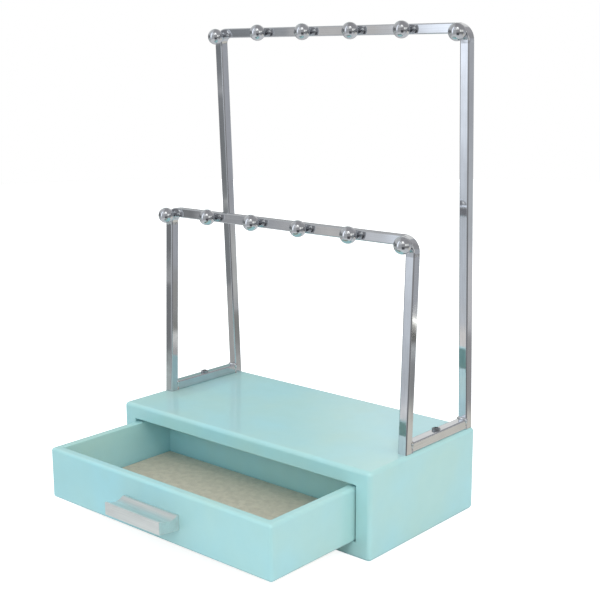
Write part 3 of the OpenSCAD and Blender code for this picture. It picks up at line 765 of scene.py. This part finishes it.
def build_world(panorama, studio):
    """White for the camera and the panorama in mirrors. All else gets an even light, which turns from cool to
    warm towards WARM_SIDE."""
    world = bpy.data.worlds.new("studio_world")
    world.use_nodes = True
    bpy.context.scene.world = world
    tree = world.node_tree
    tree.nodes.clear()
    out = tree.nodes.new("ShaderNodeOutputWorld")
    seen, mirrored = ray_kinds(tree)
    place = tree.nodes.new("ShaderNodeTexCoord").outputs["Generated"]
    share = remap(tree, calculate_vector(tree, "DOT_PRODUCT", place, WARM_SIDE), -1.0, 1.0)
    tint = mix_colours(tree, share, studio.cool_light, studio.warm_light)
    view = result(tree, "ShaderNodeGroup", {0: place}, node_tree=panorama)
    even = result(tree, "ShaderNodeBackground", {"Color": tint, "Strength": studio.fill})
    mirror = result(tree, "ShaderNodeBackground", {"Color": view})
    white = result(tree, "ShaderNodeBackground", {"Color": (1, 1, 1, 1)})
    lit = mix_shaders(tree, mirrored, even, mirror)
    tree.links.new(mix_shaders(tree, seen, lit, white), out.inputs["Surface"])


def build_floor(studio):
    """A round paper floor: a disc whose ring k of n lies at (k / n)^2 of its radius. To the camera it glows
    up to white but keeps the shadow, and some way from the object mirrors see the panorama through it."""
    rings, spokes = 24, 96
    reach = studio.floor_radius * (np.arange(1, rings + 1) / rings) ** 2
    turn = np.arange(spokes) * 2 * np.pi / spokes
    x, y = np.outer(np.cos(turn), reach), np.outer(np.sin(turn), reach)
    points = np.stack([x, y, np.zeros_like(x)], axis=-1).reshape(-1, 3)
    quads = grid_faces(spokes, rings, True)[:, ::-1]
    floor = new_piece("floor", points, quads, [np.arange(spokes) * rings])
    material, tree, shader, place = new_finish("studio_paper")
    fibres = noise(tree, place, studio.fibre_size, detail=3.0, roughness=0.6)
    connect(tree, shader, Base_Color=studio.paper_colour, Roughness=0.9, Specular_IOR_Level=0.1)
    connect(tree, shader, Normal=bump(tree, fibres, studio.fibre_depth))
    seen, mirrored = ray_kinds(tree)
    strength = calculate(tree, "MULTIPLY", seen, studio.paper_glow)
    glow = result(tree, "ShaderNodeEmission", {"Color": (1, 1, 1, 1), "Strength": strength})
    paper = result(tree, "ShaderNodeAddShader", {0: shader.outputs[0], 1: glow})
    clear = result(tree, "ShaderNodeBsdfTransparent")
    far = remap(tree, calculate_vector(tree, "LENGTH", place), studio.clear_start, studio.clear_end)
    mixed = mix_shaders(tree, calculate(tree, "MULTIPLY", mirrored, far), paper, clear)
    tree.links.new(mixed, tree.nodes["Material Output"].inputs["Surface"])
    floor.data.materials.append(material)


def soft_box(name, place, target, width, height, power, colour):
    """An area lamp that faces a point and that mirrors don't see."""
    lamp = bpy.data.lights.new(name, "AREA")
    lamp.shape = "RECTANGLE"
    lamp.size, lamp.size_y = width, height
    lamp.energy = power
    lamp.color = colour
    holder = bpy.data.objects.new(name, lamp)
    holder.location = place
    holder.rotation_euler = (Vector(target) - Vector(place)).to_track_quat("-Z", "Y").to_euler()
    holder.visible_glossy = False
    bpy.context.scene.collection.objects.link(holder)


def build_camera(studio):
    """The camera at the photograph's place and angle, turned by azimuth, then elevation, then roll."""
    azimuth, elevation = studio.camera_azimuth, studio.camera_elevation
    back = Vector((
        math.sin(azimuth) * math.cos(elevation),
        -math.cos(azimuth) * math.cos(elevation),
        math.sin(elevation),
    ))
    right = Vector((0, 0, 1)).cross(back).normalized()
    up = back.cross(right)
    level = Matrix((right, up, back)).transposed()
    data = bpy.data.cameras.new("camera")
    data.lens = studio.lens
    data.sensor_width = 36
    data.clip_start, data.clip_end = 0.05, 20
    camera = bpy.data.objects.new("camera", data)
    turned = level @ Matrix.Rotation(studio.camera_roll, 3, "Z")
    camera.matrix_world = Matrix.Translation(studio.camera_place) @ turned.to_4x4()
    bpy.context.scene.collection.objects.link(camera)
    bpy.context.scene.camera = camera


class STAND_OT_studio(bpy.types.Operator):
    """Makes the floor, the world, the lamps and the camera"""

    bl_idname = "stand.studio"
    bl_label = "Studio"

    def execute(self, context):
        studio = context.scene.stand_studio
        context.scene.view_settings.view_transform = "Standard"
        build_world(panorama_group(), studio)
        build_floor(studio)
        middle = (CAD_BOX[0] + CAD_BOX[1]) / 2
        for name, place, width, height, colour, power in SOFT_BOXES:
            soft_box(name, place, middle, width, height, getattr(studio, power), colour)
        build_camera(studio)
        return {"FINISHED"}


# The object's pieces


class STAND_OT_cabinet(bpy.types.Operator):
    """Lacquers the cabinet's boards and gives the dowels and the drawer's floor their wood"""

    bl_idname = "stand.cabinet"
    bl_label = "Cabinet"

    def execute(self, context):
        lacquer("cabinet_lacquer", CABINET_BOARDS, context.scene.stand_lacquer.cabinet_edge)
        cover(raw_birch(), ["cabinet_dowels", "drawer_bottom", "drawer_dowels"])
        return {"FINISHED"}


class STAND_OT_frames(bpy.types.Operator):
    """Plates the tube frames and the rails with chrome"""

    bl_idname = "stand.frames"
    bl_label = "Frames"

    def execute(self, context):
        look = context.scene.stand_chrome
        ripple = (look.tube_ripple_size, look.tube_ripple_depth)
        rail_low, rail_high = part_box("right_rail")
        tube_width = rail_high.z - rail_low.z
        bar_drop, bend_inset = 1.5 * tube_width, 1.6 * tube_width
        for name in ("rear_frame", "front_frame"):
            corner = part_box(name)[1]
            plate = chrome(name + "_chrome", *ripple, "Z", corner.z - bar_drop, corner.x - bend_inset)
            cover(plate, [name])
        cover(chrome("rail_chrome", *ripple, "Y"), ["left_rail", "right_rail"])
        return {"FINISHED"}


class STAND_OT_welds(bpy.types.Operator):
    """Lays a rippled weld bead over each joint of a foot rail and a leg"""

    bl_idname = "stand.welds"
    bl_label = "Weld beads"

    def execute(self, context):
        look = context.scene.stand_welds
        rail_low, rail_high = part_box("right_rail")
        top_low, top_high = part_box("rail_welds")
        # Each joint's place at the foot and the top of the rail, and the seed of its ripples
        ends = [(rail_low.y, top_low.y, 11), (rail_high.y, top_high.y, 12)]
        beads = []
        for side in (1, -1):
            x = sorted((side * rail_low.x, side * rail_high.x))
            for foot_y, top_y, seed in ends:
                beads.append(weld_bead(look, x, rail_low.z, rail_high.z, foot_y, top_y, seed + 2 * side))
        points = np.concatenate(beads)
        rows, columns = look.facets, beads[0].shape[0] // look.facets
        quads, caps = [], []
        for i in range(len(beads)):
            first = i * rows * columns
            quads.append(grid_faces(rows, columns, True) + first)
            caps.append(first + np.arange(rows) * columns)
            caps.append(first + np.arange(rows)[::-1] * columns + columns - 1)
        piece = new_piece("weld_beads", points, np.concatenate(quads), caps)
        piece.data.materials.append(weld_metal())
        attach(piece, "stand")
        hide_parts("rail_welds")
        return {"FINISHED"}


class STAND_OT_balls(bpy.types.Operator):
    """Plates the ball hooks with chrome"""

    bl_idname = "stand.balls"
    bl_label = "Ball hooks"

    def execute(self, context):
        look = context.scene.stand_chrome
        cover(chrome("ball_chrome", look.ball_ripple_size, look.ball_ripple_depth), BALLS)
        return {"FINISHED"}


# The plated screws and studs: material, setting of the colour, brightness of its tool marks, roughness, depth
# of the tool marks, and nodes.
PLATED = [
    ("zinc_plate", "zinc", 0.6, 0.3, 0.000004, ["handle_screws", "rear_studs", "front_studs"]),
    ("dark_zinc_plate", "dark_zinc", 0.5, 0.32, 0.000006, ["rail_screws"]),
]


class STAND_OT_screws(bpy.types.Operator):
    """Gives the screws and the studs their zinc plate"""

    bl_idname = "stand.screws"
    bl_label = "Screws and studs"

    def execute(self, context):
        look = context.scene.stand_metal
        for name, setting, brightness, roughness, depth, nodes in PLATED:
            colour = getattr(look, setting)
            marks = [c * brightness for c in colour[:3]] + [1.0]
            cover(brushed_metal(name, colour, marks, roughness, look.tool_mark, depth), nodes)
        return {"FINISHED"}


class STAND_OT_drawer(bpy.types.Operator):
    """Lacquers the drawer's walls"""

    bl_idname = "stand.drawer"
    bl_label = "Drawer"

    def execute(self, context):
        lacquer("drawer_lacquer", DRAWER_WALLS, context.scene.stand_lacquer.drawer_edge)
        return {"FINISHED"}


class STAND_OT_handle(bpy.types.Operator):
    """Makes the handle, a brushed aluminium extrusion with softened edges"""

    bl_idname = "stand.handle"
    bl_label = "Handle"

    def execute(self, context):
        """The outline runs anticlockwise with the distance from the drawer front first and the height second:
        the plate, the underside of the bridge as an arc, the lip, and the hollow as an arc back to the plate.
        At the end walls its points under the bridge lie on a straight line from the plate's foot to the lip's
        foot. Both outlines have as many points, so one sweep takes in the walls' inner faces."""
        look, metal = context.scene.stand_handle, context.scene.stand_metal
        low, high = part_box("drawer_handle")
        length, reach, drop = high.x - low.x, high.y - low.y, high.z - low.z
        lip_back = reach - look.lip_thickness
        half = (lip_back - look.plate_thickness) / 2
        radius = (half**2 + look.hollow_depth**2) / (2 * look.hollow_depth)
        centre = (look.plate_thickness + half, radius - look.hollow_depth)
        under = radius + look.bridge_thickness
        lean, under_lean = math.asin(half / radius), math.asin(half / under)
        down = -math.pi / 2
        bridge = arc(centre, under, down - under_lean, down + under_lean, look.arc_points)
        hollow = arc(centre, radius, down + lean, down - lean, look.arc_points)
        plate_foot = [(0, -drop), (look.plate_thickness, -drop)]
        lip = [(lip_back, -look.lip_height), (reach, -look.lip_height), (reach, 0)]
        outline = np.concatenate([plate_foot, bridge, lip, hollow, [(0, 0)]])
        arc_inside = np.arange(look.arc_points) % (look.arc_points - 1) > 0
        sharp = np.concatenate([[True] * 2, ~arc_inside, [True] * 3, ~arc_inside, [True]])
        steps = look.corner_steps
        rounded = round_corners(outline, sharp, look.edge_radius, steps)
        passed = np.cumsum(np.where(sharp, steps + 1, 1))
        finger_space = slice(passed[0], passed[len(plate_foot) + look.arc_points])
        closed = rounded.copy()
        foot = rounded[finger_space]
        closed[finger_space] = np.linspace(foot[0], foot[-1], len(foot))
        ends = inset_sweep(closed, length, look.end_radius, steps)
        inner = length / 2 - look.end_thickness
        walls = [
            section_at(closed, -inner), section_at(rounded, -inner),
            section_at(rounded, inner), section_at(closed, inner),
        ]
        swept = np.concatenate([ends[:, :steps + 1], *walls, ends[:, steps + 1:]], axis=1)
        points = np.stack([swept[..., 0], high.y - swept[..., 1], high.z + swept[..., 2]], axis=-1)
        rows, columns = points.shape[:2]
        caps = [np.arange(rows) * columns, np.arange(rows)[::-1] * columns + columns - 1]
        quads = grid_faces(rows, columns, True)[:, ::-1]
        piece = new_piece("bevelled_handle", points.reshape(-1, 3), quads, caps)
        merge_doubles(piece.data, look.edge_radius / 1000)
        piece.data.set_sharp_from_angle(angle=look.crease_angle)
        piece.modifiers.new("flat_faces", "WEIGHTED_NORMAL").keep_sharp = True
        brush = (metal.brushed_roughness, metal.brushing, metal.brush_depth)
        aluminium = brushed_metal("brushed_aluminium", metal.aluminium, metal.aluminium_dark, *brush)
        piece.data.materials.append(aluminium)
        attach(piece, "drawer")
        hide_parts("drawer_handle")
        return {"FINISHED"}


class STAND_OT_lining(bpy.types.Operator):
    """Lays a sheet of crushed velvet on the drawer's floor"""

    bl_idname = "stand.lining"
    bl_label = "Lining"

    def execute(self, context):
        """The top is a grid. Its height is the sheet's thickness less the depth of its relief, drawn down to
        the floor at the edges by a quarter ellipse, plus waves and nap that fade out there. The underside is
        one flat face."""
        look = context.scene.stand_lining
        low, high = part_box("drawer_lining")
        width, length, thickness = high - low
        columns, rows = round(width / look.step) + 1, round(length / look.step) + 1
        x, y = np.meshgrid(np.linspace(0, width, columns), np.linspace(0, length, rows))
        inside = np.minimum(np.minimum(x, width - x), np.minimum(y, length - y))
        edge = np.clip(inside / look.edge_radius, 0, 1)
        round_over = np.sqrt(np.clip(1 - (1 - edge) ** 2, 0, 1))
        fine_width, fine_relief, fine_shade = 0.5, 0.3, 0.4
        nap = band_noise(columns, rows, look.step, look.nap_size, seed=5)
        fine = band_noise(columns, rows, look.step, look.nap_size * fine_width, seed=6)
        wave = band_noise(columns, rows, look.step, look.wave_size, seed=7)
        relief = look.nap_depth * ((1 - fine_relief) * nap + fine_relief * fine) + look.wave_depth * wave
        slack = look.nap_depth + look.wave_depth
        z = (thickness - slack + relief * edge) * round_over
        top = np.stack([low.x + x, low.y + y, low.z + z], axis=-1).reshape(-1, 3)
        index = np.arange(rows * columns).reshape(rows, columns)
        rim = np.concatenate([index[0, :-1], index[:-1, -1], index[-1, :0:-1], index[:0:-1, 0]])
        piece = new_piece("velvet_lining", top, grid_faces(rows, columns)[:, ::-1], [rim[::-1]])
        lie = 0.5 + 0.5 * ((1 - fine_shade) * nap + fine_shade * fine)
        shade = piece.data.attributes.new("nap", "FLOAT", "POINT")
        shade.data.foreach_set("value", lie.ravel().astype(np.float32))
        piece.data.materials.append(velvet())
        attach(piece, "drawer")
        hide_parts("drawer_lining")
        return {"FINISHED"}


PARTS = (
    STAND_OT_studio,
    STAND_OT_cabinet,
    STAND_OT_frames,
    STAND_OT_welds,
    STAND_OT_balls,
    STAND_OT_screws,
    STAND_OT_drawer,
    STAND_OT_handle,
    STAND_OT_lining,
)
SETTINGS = {
    "stand_lacquer": StandLacquer,
    "stand_chrome": StandChrome,
    "stand_welds": StandWelds,
    "stand_handle": StandHandle,
    "stand_metal": StandMetal,
    "stand_wood": StandWood,
    "stand_lining": StandLining,
    "stand_studio": StandStudio,
}


class STAND_PT_sidebar(bpy.types.Panel):
    """Lists the stand's settings and its operators"""

    bl_idname = "STAND_PT_sidebar"
    bl_label = "Jewelry Stand"
    bl_space_type = "VIEW_3D"
    bl_region_type = "UI"
    bl_category = "Jewelry Stand"

    def draw(self, context):
        for name, group in SETTINGS.items():
            box = self.layout.box()
            box.label(text=group.__doc__)
            settings = getattr(context.scene, name)
            for prop in group.__annotations__:
                box.prop(settings, prop)
        for part in PARTS:
            self.layout.operator(part.bl_idname)


def register():
    for group in SETTINGS.values():
        bpy.utils.register_class(group)
    for part in PARTS:
        bpy.utils.register_class(part)
    bpy.utils.register_class(STAND_PT_sidebar)
    for name, group in SETTINGS.items():
        setattr(bpy.types.Scene, name, bpy.props.PointerProperty(type=group))


def unregister():
    for name in SETTINGS:
        delattr(bpy.types.Scene, name)
    bpy.utils.unregister_class(STAND_PT_sidebar)
    for part in reversed(PARTS):
        bpy.utils.unregister_class(part)
    for group in SETTINGS.values():
        bpy.utils.unregister_class(group)


def main():
    register()
    for part in PARTS:
        category, name = part.bl_idname.split(".")
        getattr(getattr(bpy.ops, category), name)()


if __name__ == "__main__":
    main()
